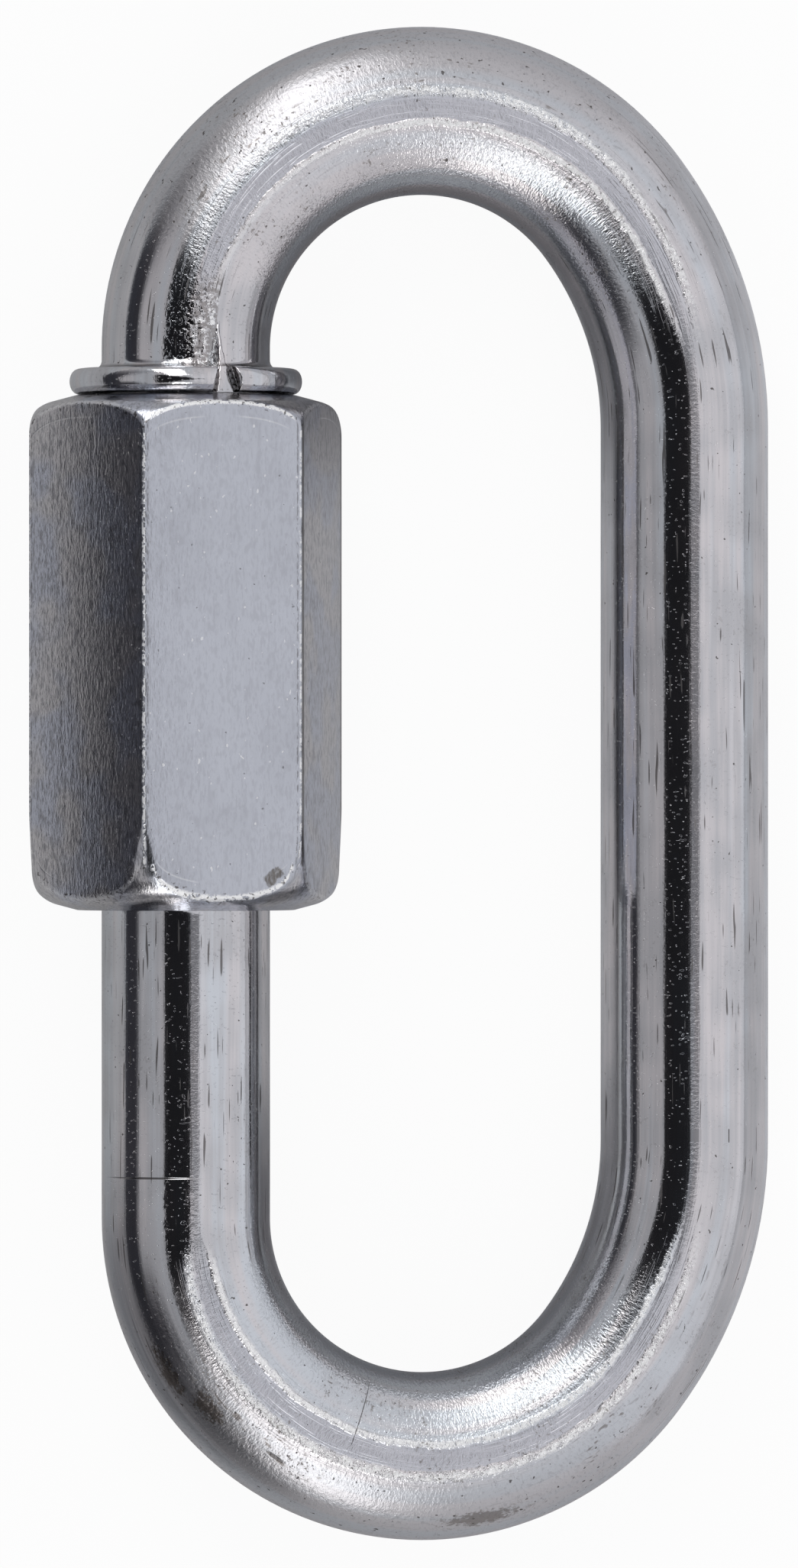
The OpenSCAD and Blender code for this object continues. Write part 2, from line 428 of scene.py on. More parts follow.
def nut_end_rows(seat_r, edge_r):
    """One end of the nut's turned outline, from its mouth to its edge: (radius, height over the end)."""
    round_r = edge_r - NUT_WORN_ROUND
    round_y = NUT_WORN_ROUND / math.cos(NUT_END_SLOPE) + (round_r - seat_r) * math.tan(NUT_END_SLOPE)
    foot_r = round_r + NUT_WORN_ROUND * math.sin(NUT_END_SLOPE)
    foot_y = round_y - NUT_WORN_ROUND * math.cos(NUT_END_SLOPE)
    rows = [(NUT_MOUTH_R, 0.0)]
    if seat_r > NUT_MOUTH_R:
        rows.append((seat_r, 0.0))
    rows += list(zip(np.linspace(seat_r, foot_r, SLOPE_ROWS)[1:], np.linspace(0.0, foot_y, SLOPE_ROWS)[1:]))
    for a in np.linspace(NUT_END_SLOPE, math.pi / 2, ROUND_ROWS)[1:]:
        rows.append((round_r + NUT_WORN_ROUND * math.sin(a), round_y - NUT_WORN_ROUND * math.cos(a)))
    return rows, round_r, round_y


def nut_dents():
    """Knocks on the front face and its edges: (across the face, above the lower end, reach, depth)."""
    rng = np.random.default_rng(5)
    dents = [
        (2.95, 1.85, 0.42, 0.14), (3.3, 2.2, 0.36, 0.12),
        (NUT_FACE_HALF - 0.12, 22.4, 0.28, 0.09), (NUT_FACE_HALF - 0.1, 9.6, 0.3, 0.06)
    ]
    for side in (-NUT_FACE_HALF, NUT_FACE_HALF):
        for up in rng.uniform(2.5, 28, 9):
            dents.append((side, up, rng.uniform(0.15, 0.35), rng.uniform(0.02, 0.05)))
    return dents


def build_nut(material):
    """The hexagon with its threaded bore, and what its finish reads. Columns crowd towards its edges."""
    share = np.linspace(-1, 1, FACE_COLUMNS, endpoint=False)
    off_flat = HEX_HALF * (share * 1.35 - 0.35 * share ** 3)
    turn = np.concatenate([FRONT_TURN + math.radians(60 * side) + off_flat for side in range(6)])
    flat_share = np.tile(np.tan(off_flat) / math.tan(HEX_HALF), 6)
    crown = FACE_CROWN * flat_share ** 2
    hexagon = (NUT_FLATS / 2 - crown) / np.cos(np.tile(off_flat, 6))

    low_rows, low_r, low_y = nut_end_rows(NUT_MOUTH_R, NUT_EDGE_R - NUT_TAPER)
    top_rows, top_r, top_y = nut_end_rows(NUT_SEAT_R, NUT_EDGE_R)
    rows = low_rows
    rows += [(np.interp(y, [low_y, NUT_TAPER_LENGTH], [NUT_EDGE_R - NUT_TAPER, NUT_EDGE_R]), y)
             for y in np.linspace(low_y, NUT_TAPER_LENGTH, TAPER_ROWS)[1:]]
    middle = np.linspace(NUT_TAPER_LENGTH, NUT_LENGTH - top_y, MIDDLE_ROWS)[1:-1]
    rows += [(NUT_EDGE_R, y) for y in middle]
    rows += [(r, NUT_LENGTH - y) for r, y in reversed(top_rows)]
    outline_r, height = np.array(rows).T
    radii = smooth_min(outline_r[:, None], hexagon[None, :], NUT_EDGE_BLEND)

    def scallop(round_r, round_y):
        """The height at which the worn corner leaves each face."""
        drop = np.clip(hexagon - round_r, 0, NUT_WORN_ROUND)
        return round_y - np.sqrt(NUT_WORN_ROUND ** 2 - drop ** 2)

    below_top = NUT_LENGTH - scallop(top_r, top_y)[None, :] - height[:, None]
    above_low = height[:, None] - scallop(low_r, low_y)[None, :]
    rim = np.minimum(below_top, above_low)
    edge = np.broadcast_to((1 - np.abs(flat_share)) * NUT_FACE_HALF, radii.shape)

    local = np.stack([
        radii * np.sin(turn - FRONT_TURN), radii * np.cos(turn - FRONT_TURN),
        np.broadcast_to(height[:, None], radii.shape)
    ], axis=-1)
    radii = radii - NUT_WAVE * (0.5 + 0.5 * wander(local, 0.22, 3))
    ding = np.zeros(radii.shape)
    for across, up, reach, depth in nut_dents():
        spot = np.array([across, NUT_FLATS / 2, up])
        hollow = np.exp(-(((local - spot) / reach) ** 2).sum(axis=-1))
        radii = radii - depth * hollow
        ding = np.maximum(ding, hollow * (depth > DEEP_DENT))

    # The bore's thread meets every third column of the outside
    bore_turn = turn[::3]
    bore_height = np.arange(NUT_LENGTH, -0.001, -BORE_STEP)
    bore_radii = []
    for y in bore_height:
        mouth = NUT_MOUTH_R - min(y, NUT_LENGTH - y)
        cut = thread_radius(nut_low.y + y, bore_turn - TILT, BORE_PLAY, BORE_LOW_R, BORE_HIGH_R)
        bore_radii.append(np.maximum(cut, mouth))
    bore_radii = np.array(bore_radii)
    bore_height = np.clip(bore_height, BORE_INSET, NUT_LENGTH - BORE_INSET)

    def place(radius, y, angle):
        return np.stack([
            GATE_X + radius * np.sin(angle), nut_low.y + np.broadcast_to(y[:, None], radius.shape),
            GATE_Z + radius * np.cos(angle)
        ], axis=-1).reshape(-1, 3)

    outer_count, bore_count = len(turn), len(bore_turn)
    faces = grid_faces(len(rows), outer_count)
    start = len(rows) * outer_count
    faces += grid_faces(len(bore_height), bore_count, start)
    last_outer, last_bore = start - outer_count, start + (len(bore_height) - 1) * bore_count
    for j in range(bore_count):
        k = (j + 1) % bore_count
        fan = [(3 * j + i) % outer_count for i in range(4)]
        faces.append(tuple([last_outer + i for i in reversed(fan)] + [start + j, start + k]))
        faces.append(tuple(fan + [last_bore + k, last_bore + j]))
    points = np.concatenate([place(radii, height, turn), place(bore_radii, bore_height, bore_turn)])
    bore_local = np.stack([
        bore_radii * np.sin(bore_turn), bore_radii * np.cos(bore_turn),
        np.broadcast_to(bore_height[:, None], bore_radii.shape)
    ], axis=-1).reshape(-1, 3)
    inside = np.full(bore_radii.size, -FAR_OFF)
    attributes = {
        "unbent": np.concatenate([local.reshape(-1, 3), bore_local]),
        "rim": np.concatenate([rim.ravel(), inside]),
        "edge": np.concatenate([edge.ravel(), np.full(bore_radii.size, FAR_OFF)]),
        "ding": np.concatenate([ding.ravel(), np.zeros(bore_radii.size)]),
    }
    return make_piece("hexagon_nut", points, faces, attributes, material)


# The share of a mark's reach over which it is full
MARK_CORE = 0.45


class Graph:
    """A node tree, with short calls for the nodes that the finishes use."""

    def __init__(self, tree):
        self.tree = tree
        tree.nodes.clear()

    def put(self, socket, value):
        if isinstance(value, bpy.types.NodeSocket):
            self.tree.links.new(value, socket)
        else:
            socket.default_value = value

    def add(self, kind, inputs=None, **settings):
        node = self.tree.nodes.new(kind)
        for name, value in settings.items():
            setattr(node, name, value)
        for name, value in (inputs or {}).items():
            self.put(node.inputs[name], value)
        return node

    def math(self, operation, a, b=0.0):
        return self.add("ShaderNodeMath", {0: a, 1: b}, operation=operation).outputs[0]

    def chain(self, operation, values):
        result = values[0]
        for value in values[1:]:
            result = self.math(operation, result, value)
        return result

    def times(self, *values):
        return self.chain("MULTIPLY", values)

    def plus(self, *values):
        return self.chain("ADD", values)

    def highest(self, *values):
        return self.chain("MAXIMUM", values)

    def distance(self, value, place):
        """How far a value is from a place, either way."""
        return self.math("ABSOLUTE", self.plus(value, -place))

    def attribute(self, name, output):
        return self.add("ShaderNodeAttribute", attribute_name=name).outputs[output]

    def split(self, vector):
        return self.add("ShaderNodeSeparateXYZ", {0: vector}).outputs

    def length(self, vector):
        return self.add("ShaderNodeVectorMath", {0: vector}, operation="LENGTH").outputs["Value"]

    def stretch(self, vector, scale, turn=(0.0, 0.0, 0.0)):
        inputs = {"Vector": vector, "Scale": scale, "Rotation": turn}
        return self.add("ShaderNodeMapping", inputs).outputs[0]

    def noise(self, vector, scale, detail=2.0, roughness=0.5):
        inputs = {"Vector": vector, "Scale": scale, "Detail": detail, "Roughness": roughness}
        return self.add("ShaderNodeTexNoise", inputs).outputs["Fac"]

    def ramp(self, value, low, high, start=0.0, end=1.0):
        inputs = {"Value": value, "From Min": low, "From Max": high, "To Min": start, "To Max": end}
        return self.add("ShaderNodeMapRange", inputs, interpolation_type="SMOOTHSTEP").outputs[0]

    def window(self, value, low, high, soft):
        """One between low and high, none outside them."""
        rise = self.ramp(value, low - soft, low + soft)
        fall = self.ramp(value, high - soft, high + soft, 1.0, 0.0)
        return self.times(rise, fall)

    def mix(self, factor, a, b):
        """A blend of two colours."""
        node = self.add("ShaderNodeMix", data_type="RGBA")
        for index, value in ((0, factor), (6, a), (7, b)):
            self.put(node.inputs[index], value)
        return node.outputs[2]

    def bump(self, *layers):
        """One relief from (height, depth in mm) layers."""
        relief = self.plus(*[self.times(height, depth_mm) for height, depth_mm in layers])
        return self.add("ShaderNodeBump", {"Height": relief, "Distance": MM, "Strength": 1.0}).outputs[0]

    def mark(self, vector, centre, reach, uneven=0.0):
        """One mark on the surface: full at its centre, gone at its reach along each axis."""
        inputs = {
            "Vector": vector,
            "Scale": tuple(1 / r for r in reach),
            "Location": tuple(-c / r for c, r in zip(centre, reach)),
        }
        away = self.length(self.add("ShaderNodeMapping", inputs).outputs[0])
        return self.ramp(self.plus(away, uneven), MARK_CORE, 1.0, 1.0, 0.0)


def new_material(name):
    material = bpy.data.materials.new(name)
    material.use_nodes = True
    return material, Graph(material.node_tree)


def finish(graph, colour, roughness, normal, metallic):
    inputs = {"Base Color": colour, "Roughness": roughness, "Normal": normal, "Metallic": metallic}
    shader = graph.add("ShaderNodeBsdfPrincipled", inputs)
    graph.add("ShaderNodeOutputMaterial", {"Surface": shader.outputs[0]})


# Colours of the metal, its wear and its dirt, and of its painted highlights, shade and reflection
ZINC_COOL = (0.65, 0.68, 0.715, 1)
ZINC_WARM = (0.70, 0.67, 0.675, 1)
ZINC_DULL = (0.53, 0.53, 0.545, 1)
ZINC_BLUE = (0.60, 0.61, 0.65, 1)
ZINC_SATIN_AND_SHADE = (0.44, 0.44, 0.455, 1)
GRAIN_DARK = (0.34, 0.34, 0.355, 1)
WORN_WHITE_AND_HIGHLIGHT = (0.94, 0.94, 0.93, 1)
PIT_AND_SHADE = (0.07, 0.06, 0.055, 1)
SMUDGE_AND_SHADE = (0.14, 0.115, 0.095, 1)
KNOCK = (0.17, 0.155, 0.14, 1)
DARK_REFLECTION_GREY = (0.20, 0.20, 0.21, 1)
NUT_FACE_LIGHT = (0.54, 0.56, 0.607, 1)
NUT_FACE_DULL = (0.435, 0.45, 0.487, 1)
NUT_FLANK_BLUE = (0.57, 0.59, 0.66, 1)
NUT_FLANK_WARM = (0.63, 0.615, 0.62, 1)
NUT_GRAIN_DARK = (0.30, 0.30, 0.32, 1)


def rod_zinc():
    """Bright along the drawn legs, satin and worked on the bends, with flats where the die pressed."""
    material, g = new_material("rod_zinc")
    unbent = g.attribute("unbent", "Vector")
    bend = g.attribute("bend", "Fac")
    land = g.attribute("land", "Fac")
    hammer = g.attribute("hammer", "Fac")
    crease_shade = g.attribute("crease_shade", "Fac")
    across, _, along = g.split(unbent)
    drawn = g.stretch(unbent, (1.0, 1.0, 0.03))
    streak = g.noise(drawn, 2.6, 2.0, 0.6)
    hair = g.noise(drawn, 9.0, 1.0, 0.6)
    cloud = g.noise(unbent, 0.35, 1.0)
    grain = g.noise(g.stretch(unbent, (0.6, 0.6, 1.1)), 5.5, 2.0, 0.7)
    blow = g.noise(unbent, 2.0, 1.0)
    crumb = g.noise(unbent, 3.2, 2.0, 0.75)
    flake = g.plus(blow, g.times(g.ramp(crumb, 0.48, 0.62), 0.12))
    from_axis = g.length(g.stretch(unbent, (1.0, 1.0, 0.0)))
    stem = g.ramp(from_axis, ROD_R + 0.03, ROD_R + 0.12, 1.0, 0.0)
    outside = g.ramp(across, 0.3, 2.6)
    inward = g.math("SUBTRACT", 1.0, outside)
    worked = g.plus(g.times(g.ramp(bend, 0.35, 1.0), outside), g.times(g.ramp(bend, 0.2, 1.0), inward))

    # Pits, dark seams along the rod, small nicks, and rust-brown dirt in patches on the bends
    pit = g.ramp(g.plus(g.noise(unbent, 3.4, 1.0), g.times(worked, outside, 0.035)), 0.755, 0.775)
    seam = g.ramp(g.noise(g.stretch(unbent, (1.0, 1.0, 0.06)), 6.0, 0.0), 0.74, 0.79)
    seam = g.times(seam, stem, g.ramp(worked, 0.0, 1.0, 0.75, 0.1))
    nick = g.ramp(g.noise(g.stretch(unbent, (0.8, 0.8, 1.6)), 5.2, 0.0), 0.745, 0.775)
    dirt = g.times(g.ramp(crumb, 0.57, 0.68), g.ramp(cloud, 0.52, 0.66), g.ramp(worked, 0.0, 0.7, 0.2, 0.8))

    # The flats: a smooth inner burr, a broken outer one, fine lines between them and scuffs outside; the
    # burrs are raised and also painted white as highlights
    inside = g.plus(land, g.times(g.plus(blow, -0.5), 0.30))
    pressed = g.ramp(bend, 0.05, 0.7)
    flat = g.times(g.ramp(inside, -0.06, 0.08), pressed)
    outward = g.ramp(across, -0.1, 0.1)
    inner_burr = g.ramp(g.distance(inside, -0.25), 0.07, 0.28, 1.0, 0.0)
    inner_burr = g.times(inner_burr, g.math("SUBTRACT", 1.0, outward))
    inner_burr = g.times(inner_burr, g.ramp(along, 150.0, 165.0, 1.0, 0.4))
    outer_burr = g.ramp(g.distance(inside, -0.36), 0.10, 0.38, 1.0, 0.0)
    outer_burr = g.times(outer_burr, outward, g.ramp(crumb, 0.30, 0.55))
    outer_burr = g.times(outer_burr, g.ramp(along, 148.0, 160.0, 1.0, 0.15))
    burr_and_highlight = g.times(g.plus(inner_burr, outer_burr), pressed)
    line = g.times(g.window(inside, -1.1, 0.5, 0.06), g.ramp(hair, 0.50, 0.62), pressed)
    scuff = g.ramp(g.noise(g.stretch(unbent, (1.0, 1.0, 0.35)), 4.2, 1.0), 0.62, 0.72)
    scuff = g.times(scuff, g.window(inside, -2.6, -0.6, 0.3), outward, pressed)
    scuff = g.times(scuff, g.ramp(cloud, 0.42, 0.60, 0.1, 0.8))

    # The hammered patches: flakes painted white as glints, with painted shade in the hollows between them
    struck = g.ramp(hammer, 0.25, 0.9)
    chip_glint = g.times(g.ramp(crumb, 0.55, 0.63), g.ramp(hammer, 0.7, 1.5))
    hollow = g.times(g.ramp(crumb, 0.44, 0.57, 1.0, 0.0), struck)
    burr_and_chip_glint = g.math("MINIMUM", g.highest(g.times(burr_and_highlight, g.ramp(grain, 0.32, 0.50)), chip_glint), 1.0)

    # This link's own marks below the nut and on the lower bend, and a painted dark reflection there, placed
    # by (across, over, along the rod)
    uneven = g.plus(g.times(crumb, 2.4), -1.2)
    ring_line = g.mark(unbent, (2.6, 4.0, 28.35), (3.4, 5.0, 0.07))
    crack = g.mark(unbent, (-2.0, 4.4, 48.0), (2.7, 3.0, 0.05), g.times(uneven, 0.3))
    gouge = g.mark(unbent, (2.72, 4.2, 44.7), (0.16, 2.0, 0.8), g.times(uneven, 0.3))
    lower_dirt = g.mark(unbent, (3.79, 3.26, 55.6), (0.60, 1.2, 2.2), uneven)
    left_dirt = g.mark(unbent, (3.2, 3.8, 40.6), (0.6, 1.4, 1.2), uneven)
    edge_dirt = g.mark(unbent, (3.9, 3.1, 38.3), (0.45, 1.2, 1.6), uneven)
    # A painted dark reflection on the outer side of the lower bend, not a mark of the link
    dark_reflection_patch = g.mark(unbent, (3.5, 3.4, 38.5), (2.4, 4.0, 9.5), g.times(g.plus(cloud, streak, -1.0), 0.9))
    cuts = g.highest(ring_line, crack, gouge)
    stain = g.highest(g.times(lower_dirt, 0.8), left_dirt, edge_dirt)

    tint = g.mix(g.ramp(g.noise(drawn, 0.9, 1.0), 0.38, 0.62), ZINC_COOL, ZINC_WARM)
    shade = g.plus(g.times(streak, g.ramp(worked, 0.0, 1.0, 0.6, 0.25)), g.times(cloud, 0.5))
    colour = g.mix(g.ramp(shade, 0.35, 0.75), tint, ZINC_DULL)
    # The outer half of the bends: a satin finish, its colour also painted darker as shade
    colour = g.mix(g.times(worked, outside, 0.5), colour, ZINC_SATIN_AND_SHADE)
    mottle = g.times(g.ramp(grain, 0.50, 0.72), g.ramp(worked, 0.0, 1.0, 0.05, 0.45))
    colour = g.mix(g.times(mottle, g.ramp(outside, 0.0, 1.0, 0.55, 1.0)), colour, GRAIN_DARK)
    # Painted dark reflection, streaky along the rod
    colour = g.mix(g.times(dark_reflection_patch, g.ramp(streak, 0.35, 0.65, 0.15, 0.6)), colour, DARK_REFLECTION_GREY)
    colour = g.mix(g.times(flat, 0.8), colour, ZINC_BLUE)
    # Painted highlight: the burrs and the hammered flakes turn near-white
    colour = g.mix(g.times(burr_and_chip_glint, 0.95), colour, WORN_WHITE_AND_HIGHLIGHT)
    # Dirt, stains and scuffs darken here, and so does the painted shade in the hammered hollows
    colour = g.mix(g.times(g.highest(dirt, stain, g.times(hollow, 0.7), scuff), 0.8), colour, SMUDGE_AND_SHADE)
    colour = g.mix(seam, colour, PIT_AND_SHADE)
    # Pits and cuts darken here, and so does the painted shade in the collar's crease and notch walls
    colour = g.mix(g.times(g.highest(pit, cuts, crease_shade), 0.8), colour, PIT_AND_SHADE)
    satin = g.times(worked, g.ramp(outside, 0.0, 1.0, 0.13, 0.25))
    roughness = g.plus(0.06, satin, g.times(streak, 0.05))
    roughness = g.plus(roughness, g.times(g.highest(pit, seam, dirt), 0.3))
    grain_depth = g.times(grain, g.ramp(worked, 0.0, 1.0, 0.08, 1.0), g.ramp(outside, 0.0, 1.0, 1.0, 0.65))
    grain_depth = g.times(grain_depth, g.ramp(flat, 0.0, 1.0, 1.0, 0.35))
    burr_relief = g.times(burr_and_highlight, g.plus(g.times(grain, 1.6), 0.4))
    draw_depth = g.ramp(worked, 0.0, 1.0, 1.0, 0.5)
    normal = g.bump(
        (g.times(streak, draw_depth), 0.0035), (hair, 0.0014), (grain_depth, 0.042),
        (g.times(flake, hammer), 0.065), (burr_relief, 0.05), (line, 0.008),
        (g.highest(pit, nick, cuts), -0.014)
    )
    # Less metallic where the highlights are painted, so they stay white under any light
    finish(g, colour, roughness, normal, g.ramp(burr_and_chip_glint, 0.0, 1.0, 1.0, 0.3))
    return material


def nut_zinc():
    """Drawn hexagon: dull grainy faces, worn and painted bright as highlights along the edges and the
    turned rims, with painted shade beside the edges.
    """
    material, g = new_material("nut_zinc")
    unbent = g.attribute("unbent", "Vector")
    rim = g.attribute("rim", "Fac")
    edge = g.attribute("edge", "Fac")
    ding = g.attribute("ding", "Fac")
    sideways, frontal, up = g.split(unbent)
    front = g.ramp(frontal, 7.9, 8.3)
    drawn = g.stretch(unbent, (1.0, 1.0, 0.06), (0.10, 0.0, 0.0))
    streak = g.noise(drawn, 2.4, 2.0, 0.65)
    hair = g.noise(g.stretch(unbent, (1.0, 1.0, 0.30), (0.10, 0.0, 0.0)), 6.0, 2.0, 0.6)
    grain = g.noise(g.stretch(unbent, (1.0, 1.0, 0.35)), 6.0, 2.0, 0.7)
    cloud = g.noise(unbent, 0.3, 1.0)
    crumb = g.noise(unbent, 2.6, 2.0, 0.7)
    fleck = g.ramp(g.noise(unbent, 3.4, 1.0), 0.765, 0.785)
    dash = g.ramp(g.noise(g.stretch(unbent, (1.3, 1.3, 0.9), (0.35, 0.9, 0.0)), 3.6, 0.0), 0.81, 0.84)

    # Wear, also painted white as highlights: a broken bevel on each edge with a painted dark line beside
    # it, a beaded line on each rim, fine arcs
    on_face = g.ramp(rim, -0.05, 0.25)
    bevel = g.times(g.ramp(edge, 0.04, 0.18, 1.0, 0.0), g.ramp(crumb, 0.42, 0.62), on_face, 0.8)
    beside = g.times(g.window(edge, 0.20, 0.30, 0.05), g.ramp(grain, 0.42, 0.58), on_face)
    right_edge_shade = g.times(g.ramp(edge, 0.30, 0.65, 1.0, 0.0), g.ramp(sideways, 4.88, 4.93), on_face)
    rim_near = g.math("ABSOLUTE", g.plus(rim, g.times(g.plus(crumb, -0.5), 0.35)))
    rim_near = g.times(rim_near, g.ramp(up, 3.0, 6.0, 0.65, 1.0))
    rim_line = g.times(g.ramp(rim_near, 0.05, 0.18, 1.0, 0.0), g.ramp(crumb, 0.36, 0.48))
    rim_line = g.times(rim_line, g.ramp(edge, 0.25, 0.7), g.ramp(front, 0.0, 1.0, 0.3, 1.0))
    speck = g.times(g.ramp(g.noise(unbent, 4.6, 1.0), 0.63, 0.68), g.ramp(rim_near, 0.15, 0.35, 1.0, 0.0))
    arc = g.times(g.window(rim, 0.80, 0.88, 0.04), g.ramp(cloud, 0.45, 0.6))
    wear_and_highlight = g.highest(bevel, rim_line, g.times(arc, 0.3), g.times(dash, front, 0.5))
    edge_shade_line = g.highest(g.times(beside, 0.55), g.times(right_edge_shade, 0.95))

    # Two nicks on the upper end and the knock on the front face
    nicks = g.highest(
        g.mark(unbent, (-6.75, 2.91, 30.2), (0.30, 0.40, 0.8)),
        g.mark(unbent, (-5.74, 4.83, 30.2), (0.28, 0.30, 0.8))
    )
    knock = g.ramp(g.plus(ding, g.times(g.plus(crumb, -0.5), 0.9)), 0.30, 0.50)

    shade = g.plus(g.times(streak, g.ramp(front, 0.0, 1.0, 0.75, 0.25)), g.times(cloud, 0.5))
    face = g.mix(g.ramp(shade, 0.25, 0.75), NUT_FACE_LIGHT, NUT_FACE_DULL)
    flank = g.mix(g.ramp(cloud, 0.40, 0.60), NUT_FLANK_BLUE, NUT_FLANK_WARM)
    colour = g.mix(front, flank, face)
    tear = g.noise(g.stretch(unbent, (1.0, 1.0, 0.42), (0.20, 0.0, 0.0)), 3.0, 1.0)
    coarse = g.highest(g.ramp(hair, 0.50, 0.66), g.ramp(grain, 0.52, 0.75), g.ramp(tear, 0.52, 0.72))
    colour = g.mix(g.times(coarse, g.ramp(front, 0.0, 1.0, 0.75, 0.22)), colour, NUT_GRAIN_DARK)
    # Painted highlight: the worn edges and rims turn near-white
    colour = g.mix(wear_and_highlight, colour, WORN_WHITE_AND_HIGHLIGHT)
    # Painted shade in the dark lines beside the edges, along with the nicks, specks and flecks
    colour = g.mix(g.highest(edge_shade_line, nicks, g.times(speck, 0.8), g.times(fleck, 0.5)), colour, PIT_AND_SHADE)
    colour = g.mix(g.times(knock, g.ramp(grain, 0.35, 0.65, 0.5, 0.95)), colour, KNOCK)
    roughness = g.plus(0.12, g.times(grain, 0.12), g.times(g.highest(wear_and_highlight, fleck, knock), 0.25))
    normal = g.bump(
        (g.times(streak, g.ramp(front, 0.0, 1.0, 1.0, 0.35)), 0.006), (hair, 0.006), (grain, 0.010),
        (g.times(wear_and_highlight, crumb), 0.04), (g.highest(fleck, dash, nicks), -0.010)
    )
    # Less metallic where the highlights are painted, so they stay white under any light
    finish(g, colour, roughness, normal, g.ramp(wear_and_highlight, 0.0, 1.0, 1.0, 0.35))
    return material


# Greys of the light tent, and of the table as the metal reflects it, where the table's greys are painted
# shade and shadow
WHITE = (1, 1, 1, 1)
TENT_RIGHT = (0.80, 0.80, 0.835, 1)
TENT_UPPER = (0.60, 0.60, 0.62, 1)
TENT_LOWER = (0.50, 0.50, 0.52, 1)
TENT_LEFT = (0.46, 0.46, 0.48, 1)
TENT_WASH = (0.22, 0.22, 0.24, 1)
TENT_DARK = (0.04, 0.04, 0.048, 1)
STEP_GREY = (0.19, 0.19, 0.205, 1)
ARM_BLACK = (0.015, 0.015, 0.017, 1)
PAPER_SHADED_LEFT = (0.58, 0.58, 0.58, 1)
PAPER_RIGHT = (0.76, 0.76, 0.77, 1)
PAPER_CORNER_SHADE = (0.2, 0.2, 0.21, 1)
PAPER_EYE_SHADOW = (0.28, 0.28, 0.29, 1)
PAPER_SEEN = (0.86, 0.86, 0.86, 1)


def set_world():
    """A light tent: dark low down on the left, with a dark arm that reaches in overhead from there."""
    world = bpy.data.worlds.new("tent")
    bpy.context.scene.world = world
    world.use_nodes = True
    g = Graph(world.node_tree)
    direction = g.split(g.add("ShaderNodeTexCoord").outputs["Generated"])

    # Directions as angles: away from overhead, to the right of it, and off the middle along the link
    to_degrees = 180 / math.pi
    tilt = g.times(g.math("ARCCOSINE", direction[2]), to_degrees)
    sideways = g.times(g.math("ARCTAN2", direction[0], direction[2]), to_degrees)
    lengthways = g.times(g.math("ABSOLUTE", g.math("ARCSINE", direction[1])), to_degrees)
    flat_square = g.math("SUBTRACT", 1.0, g.times(direction[2], direction[2]))
    flat_reach = g.math("SQRT", g.math("MAXIMUM", flat_square, 1e-6))
    leftward = g.math("DIVIDE", g.times(direction[0], -1.0), flat_reach)

    # Light on the right, greyer on the left and nearly black low down there
    ends = g.mix(g.ramp(direction[1], -0.3, 0.3), TENT_LOWER, TENT_UPPER)
    tent = g.mix(g.ramp(leftward, -0.9, 0.1), TENT_RIGHT, ends)
    tent = g.mix(g.ramp(leftward, 0.1, 0.75), tent, TENT_LEFT)
    off_axis = g.ramp(g.math("ABSOLUTE", direction[1]), 0.16, 0.42)
    wash = g.times(g.ramp(leftward, 0.30, 0.75), g.ramp(tilt, 50.0, 66.0), off_axis)
    tent = g.mix(g.times(wash, 0.75), tent, TENT_WASH)
    lower = g.ramp(direction[1], -0.45, -0.08, 1.0, 0.0)
    low_left = g.times(g.ramp(leftward, 0.22, 0.50), g.ramp(tilt, 44.0, 60.0), lower)
    far_left = g.times(g.ramp(leftward, 0.55, 0.98), g.ramp(tilt, 63.0, 72.0))
    far_left = g.times(far_left, g.ramp(tilt, 86.0, 100.0, 1.0, 0.4))
    tent = g.mix(g.highest(low_left, far_left), tent, TENT_DARK)

    # A grey step to the right of the arm, then the arm
    step = g.times(g.window(sideways, 4.0, 19.5, 1.5), g.ramp(lengthways, 1.6, 2.6, 1.0, 0.0))
    tent = g.mix(step, tent, STEP_GREY)
    arm_half = g.ramp(sideways, -32.0, 12.0, 27.0, 6.0)
    inside_arm = g.math("SUBTRACT", arm_half, lengthways)
    arm = g.times(g.window(sideways, -29.0, 7.5, 1.5), g.ramp(inside_arm, -2.0, 2.0))
    tent = g.mix(arm, tent, ARM_BLACK)
    to_camera = g.add("ShaderNodeLightPath").outputs["Is Camera Ray"]
    light = g.add("ShaderNodeBackground", {"Color": g.mix(to_camera, tent, WHITE), "Strength": 1.0})
    g.add("ShaderNodeOutputWorld", {"Surface": light.outputs[0]})


def add_lamp(name, turn, tilt, spread, level):
    """A strip softbox at a turn from +X and a tilt from overhead, spread over (side, up) degrees."""
    distance = 0.6
    turn, tilt = math.radians(turn), math.radians(tilt)
    toward = Vector((math.sin(tilt) * math.cos(turn), math.sin(tilt) * math.sin(turn), math.cos(tilt)))
    lamp = bpy.data.lights.new(name, "AREA")
    lamp.shape = "RECTANGLE"
    lamp.size = 2 * distance * math.tan(math.radians(spread[0]))
    lamp.size_y = 2 * distance * math.tan(math.radians(spread[1]))
    lamp.energy = level * math.pi * lamp.size * lamp.size_y
    holder = bpy.data.objects.new(name, lamp)
    holder.location = toward * distance
    holder.rotation_euler = (-toward).to_track_quat("-Z", "Y").to_euler()
    holder.visible_camera = False
    bpy.context.scene.collection.objects.link(holder)


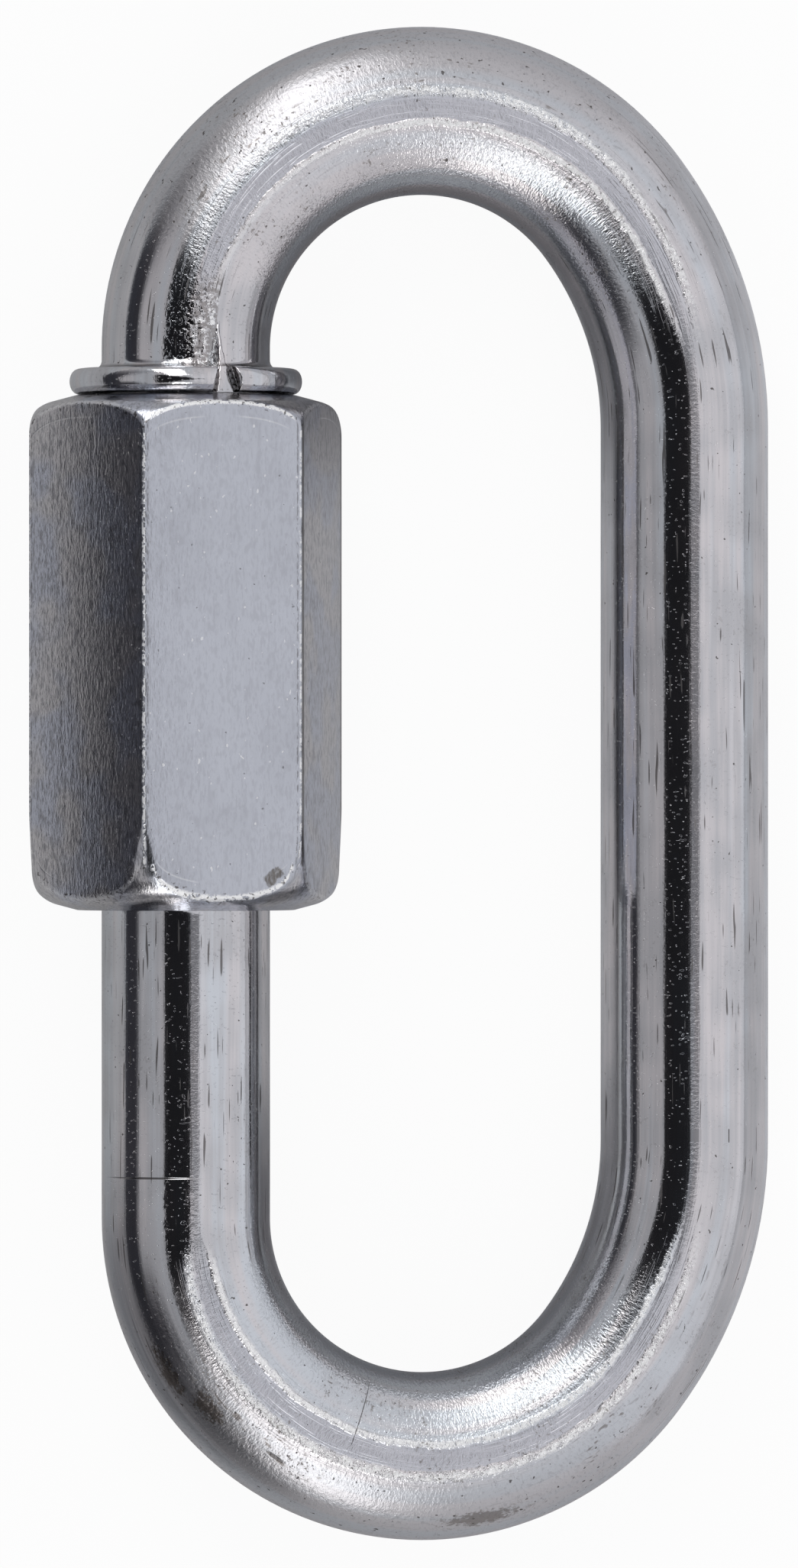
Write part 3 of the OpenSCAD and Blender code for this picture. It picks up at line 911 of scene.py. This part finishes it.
def add_floor():
    """A white table. To the metal it has painted shade on the left and in one corner, and painted shadow at
    both ends of the eye.
    """
    half = 3.0
    mesh = bpy.data.meshes.new("floor")
    corners = [(-half, -half, 0), (half, -half, 0), (half, half, 0), (-half, half, 0)]
    mesh.from_pydata(corners, [], [(0, 1, 2, 3)])
    floor = bpy.data.objects.new("floor", mesh)
    bpy.context.scene.collection.objects.link(floor)
    material, g = new_material("white_table_painted_shade")
    to_camera = g.add("ShaderNodeLightPath").outputs["Is Camera Ray"]
    place = g.split(g.add("ShaderNodeNewGeometry").outputs["Position"])
    # Painted shade to the metal: greyer on the left and in one corner, and painted shadow at both ends of
    # the eye
    paper = g.mix(g.ramp(place[0], -0.03, 0.03), PAPER_SHADED_LEFT, PAPER_RIGHT)
    corner_shade = g.times(g.ramp(place[0], -0.03, -0.012, 1.0, 0.0), g.ramp(place[1], -0.034, -0.018, 1.0, 0.0))
    paper = g.mix(g.times(corner_shade, 0.7), paper, PAPER_CORNER_SHADE)
    off_x = g.times(g.plus(place[0], -0.002), 90.0)
    off_y = g.times(place[1], 28.0)
    off_middle = g.math("SQRT", g.plus(g.math("POWER", off_x, 2.0), g.math("POWER", off_y, 2.0)))
    ends = g.ramp(g.math("ABSOLUTE", place[1]), 0.014, 0.026)
    paper = g.mix(g.times(ends, g.ramp(off_middle, 0.8, 1.2, 1.0, 0.0)), paper, PAPER_EYE_SHADOW)
    matt = g.add("ShaderNodeBsdfDiffuse", {"Color": g.mix(to_camera, paper, PAPER_SEEN)})
    glow = g.add("ShaderNodeEmission", {"Color": WHITE, "Strength": 1.0})
    share = g.times(to_camera, 0.94)
    both = g.add("ShaderNodeMixShader", {0: share, 1: matt.outputs[0], 2: glow.outputs[0]})
    g.add("ShaderNodeOutputMaterial", {"Surface": both.outputs[0]})
    mesh.materials.append(material)


def add_camera():
    """A long lens straight above, in metres: how high it aims, how far up it is, and what it takes in."""
    height, distance, tall = 0.007, 0.8, 0.0933
    aim_y = -0.00003
    data = bpy.data.cameras.new("camera")
    data.type = "PERSP"
    data.sensor_width = 36.0
    data.lens = data.sensor_width * distance / tall
    data.clip_start, data.clip_end = 0.05, 20.0
    camera = bpy.data.objects.new("camera", data)
    camera.location = (0.0, aim_y, height + distance)
    bpy.context.scene.collection.objects.link(camera)
    bpy.context.scene.camera = camera


link = build_link(rod_zinc())
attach(link, "link")
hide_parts("link_body")
nut = build_nut(nut_zinc())
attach(nut, "nut")
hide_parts("sleeve_nut")

set_world()
add_lamp("softbox_top", 105.0, 52.0, (10.0, 30.0), 2.3)
add_lamp("softbox_bottom", -100.0, 52.0, (9.0, 30.0), 2.2)
add_floor()
add_camera()
bpy.context.scene.view_settings.view_transform = "Standard"
